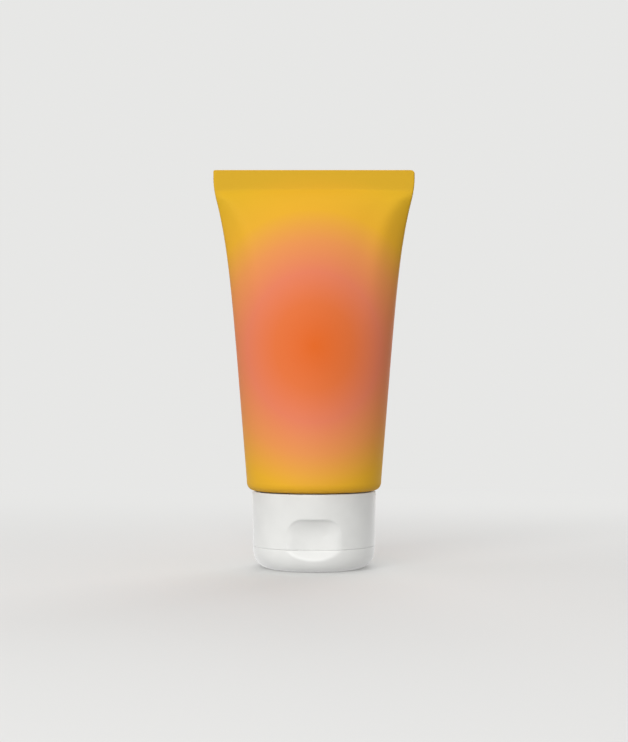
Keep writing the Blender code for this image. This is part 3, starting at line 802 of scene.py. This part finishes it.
def make_lid():
    """The lid's profile carried round the axis, then its lip and its hinge pad."""
    flat = cap_radius * LID_FLAT_SHARE
    rim_inner = cap_radius - LID_WALL
    boss = LID_FLOOR + FLOOR_BOSS_STEP
    ring_top = LID_FLOOR + SEAL_RING_HEIGHT
    ring_inner = SEAL_RING_RADIUS - SEAL_RING_WALL
    corners = [
        (0, GATE_DEPTH, 0, COARSE_ROWS),
        (GATE_RADIUS, GATE_DEPTH, MOULDED_EDGE, COARSE_ROWS),
        (GATE_RADIUS + GATE_DEPTH, 0, MOULDED_EDGE, COARSE_ROWS),
    ]
    corners += lid_side(cap_radius, flat, 0, LID_SIDE_STEPS)[::-1]
    corners.append((cap_radius, lid_rim_z, MOULDED_EDGE, COARSE_ROWS))
    rim = len(corners)
    corners.append((rim_inner, lid_rim_z, MOULDED_EDGE, COARSE_ROWS))
    corners += lid_side(rim_inner, flat - LID_WALL / 2, LID_FLOOR, LID_SIDE_STEPS // 2)
    inside_end = len(corners)
    corners += [
        (SEAL_RING_RADIUS, LID_FLOOR, CAP_EDGE, COARSE_ROWS),
        (SEAL_RING_RADIUS, ring_top, MOULDED_EDGE, COARSE_ROWS),
        (ring_inner, ring_top, MOULDED_EDGE, COARSE_ROWS),
        (ring_inner, boss, CAP_EDGE, COARSE_ROWS),
        (PIN_RADIUS, boss, CAP_EDGE, COARSE_ROWS),
        (PIN_RADIUS, pin_tip_z - PIN_ROUND, CAP_EDGE, COARSE_ROWS),
        (PIN_RADIUS - PIN_ROUND, pin_tip_z, CAP_EDGE, COARSE_ROWS),
        (0, pin_tip_z, 0, COARSE_ROWS),
    ]
    radius, z, corner = outline(corners, loop=False)
    angle = crowded_angles(CAP_COLUMNS, CAP_SPOTS)
    grid = round_axis(radius, angle, z)

    # Rows on the rim's two round edges follow the wall that the edge belongs to
    radius = np.where(corner == rim - 1, cap_radius, np.where(corner == rim, rim_inner, radius))
    wall = round_axis(radius, angle, z)
    y = wall[..., 1]
    outer = push_back(y, -(lip_face + LIP_LEAN * (lid_rim_z - z))) + hinge_pad(wall)
    inner = push_back(y, -(lip_face - LID_WALL))
    grid[..., 1] += np.where(corner < rim, outer, np.where(corner < inside_end, inner, 0))
    return skin("lid", grid, "poles", white_finish)


lid = make_lid()
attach(lid, "lid")
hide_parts("flip_lid")


# Hinge: a broad web and two straps, moulded across the parting line from one pad to the other.
# They are thin at the fold and bend there as the lid turns, until their halves lie back to back.
HINGE_REACH = 3.6 * MM
HINGE_FILM = 0.26 * MM
HINGE_FOLD_GAP = 0.05 * MM
HINGE_ROOT = 0.1 * MM
FILM_HALF_HEIGHT = 0.5 * MM
HINGE_ROWS = 81
HINGE_NODES = ("hinge_web", "hinge_strap_left", "hinge_strap_right")

hinge_y = (web_low.y + web_high.y) / 2


def make_strip(node):
    """A strip up the pads' faces, as wide as its node, with round ends and a thin fold.

    Its outer face sinks and its inner face rises to the film's thickness, as a flat-topped bell
    round the parting line. Its foot is inside the pads.
    """
    low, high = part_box(node)
    up = -HINGE_REACH * np.cos(np.linspace(0, math.pi, HINGE_ROWS))
    thin = np.exp(-((up / FILM_HALF_HEIGHT) ** 4))
    outer = hinge_y - HINGE_FOLD_GAP
    root = pad_face - HINGE_ROOT
    thickness = (outer - root) * (1 - thin) + HINGE_FILM * thin
    taper = np.clip(1 - (HINGE_REACH - np.abs(up)) / thickness, 0, 1)
    half_depth = thickness / 2 * np.sqrt(1 - taper**2)
    x, y, z = bar((high.x - low.x) / 2, half_depth, parting_z + up)
    grid = np.stack([x + (low.x + high.x) / 2, y + (outer + root) / 2, z], axis=-1)
    return skin(node, grid, "pressed", white_finish)


for node in HINGE_NODES:
    strip = make_strip(node)
    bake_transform(strip)
    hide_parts(node)


# Stage: a pale floor that the tube stands on, even pale surroundings, and three large soft lamps.
# The camera stands in front, a little lower than the tube's middle, as in the photograph.
FLOOR_HALF = 6.0
FLOOR_COLOUR = (0.75, 0.75, 0.74, 1.0)
FLOOR_ROUGHNESS = 0.9
FLOOR_FADE_START = 0.10
FLOOR_FADE_END = 0.45
BOUNCE = 0.46
BOUNCE_START = 0.04
BOUNCE_END = 0.12
SURROUNDINGS_COLOUR = (0.80, 0.80, 0.79, 1.0)
SURROUNDINGS_LIGHT = (0.62, 0.62, 0.62, 1.0)
LAMP_DISTANCE = 0.9
# Each lamp's direction and height in degrees, its share of full white, and its size in metres
LAMPS = {"key": (-18, 14, 0.82, 0.8), "left": (-85, 8, 0.11, 0.6), "back": (165, 25, 0.50, 0.8)}
CAMERA_DISTANCE = 455 * MM
CAMERA_HEIGHT = 52.6 * MM
AIM_HEIGHT = 65.5 * MM
LENS = 65.8


def aim(holder, place):
    """Puts a lamp or camera at a place and turns it to the middle of the tube."""
    holder.location = place
    towards = Vector((0, 0, AIM_HEIGHT)) - Vector(place)
    holder.rotation_euler = towards.to_track_quat("-Z", "Y").to_euler()
    bpy.context.scene.collection.objects.link(holder)


def softbox(name, direction, height, share, size):
    """A square soft lamp, so many degrees right of the front and above the tube's middle.

    It gives a white face that is turned to it that share of full white.
    """
    lamp = bpy.data.lights.new(name, "AREA")
    lamp.size = size
    lamp.energy = share * (math.pi * LAMP_DISTANCE) ** 2
    right, up = math.radians(direction), math.radians(height)
    away = Vector((math.sin(right) * math.cos(up), -math.cos(right) * math.cos(up), math.sin(up)))
    holder = bpy.data.objects.new(name, lamp)
    holder.visible_camera = False
    aim(holder, Vector((0, 0, AIM_HEIGHT)) + away * LAMP_DISTANCE)


def make_floor():
    """A flat pale sheet, clear from below. Far from the tube it has the surroundings' even tone."""
    half = FLOOR_HALF
    mesh = bpy.data.meshes.new("floor")
    corners = [(-half, -half, 0), (half, -half, 0), (half, half, 0), (-half, half, 0)]
    mesh.from_pydata(corners, [], [(0, 1, 2, 3)])
    finish = Finish(bpy.data.materials.new("floor"))
    finish.give(base_color=FLOOR_COLOUR, roughness=FLOOR_ROUGHNESS, specular_ior_level=0.0)
    distance = finish.node("VectorMath", {"operation": "LENGTH"}, {0: finish.object_point()}, "Value")
    even = finish.node("Emission", {}, {"Color": SURROUNDINGS_COLOUR})
    shader = Wire(finish, finish.shader.outputs["BSDF"])
    fade = distance.rise(FLOOR_FADE_START, FLOOR_FADE_END)
    faded = finish.node("MixShader", {}, {0: fade, 1: shader, 2: even})
    bounce = (1 - distance.rise(BOUNCE_START, BOUNCE_END)) * BOUNCE
    glow = finish.node("Emission", {}, {"Strength": bounce})
    seen = finish.node("MixShader", {}, {0: finish.looked_at(), 1: glow, 2: faded})
    behind = finish.node("NewGeometry", {}, {}, "Backfacing")
    clear = finish.node("BsdfTransparent", {}, {})
    mixed = finish.node("MixShader", {}, {0: behind, 1: seen, 2: clear})
    finish.feed(finish.nodes["Material Output"].inputs["Surface"], mixed)
    mesh.materials.append(finish.owner)
    floor = bpy.data.objects.new("floor", mesh)
    bpy.context.scene.collection.objects.link(floor)


def make_surroundings():
    """Even light from all round, and a paler even tone where the camera or a gloss looks past."""
    bpy.context.scene.world = bpy.data.worlds.new("surroundings")
    finish = Finish(bpy.context.scene.world, "Background")
    finish.give(color=SURROUNDINGS_LIGHT)
    lit = Wire(finish, finish.shader.outputs["Background"])
    seen = finish.node("Background", {}, {"Color": SURROUNDINGS_COLOUR})
    mixed = finish.node("MixShader", {}, {0: finish.looked_at(), 1: lit, 2: seen})
    finish.feed(finish.nodes["World Output"].inputs["Surface"], mixed)


make_floor()
make_surroundings()
for name, lamp in LAMPS.items():
    softbox(name, *lamp)

camera = bpy.data.objects.new("camera", bpy.data.cameras.new("camera"))
camera.data.lens = LENS
aim(camera, (0, -CAMERA_DISTANCE, CAMERA_HEIGHT))
bpy.context.scene.camera = camera
bpy.context.scene.view_settings.view_transform = "Standard"
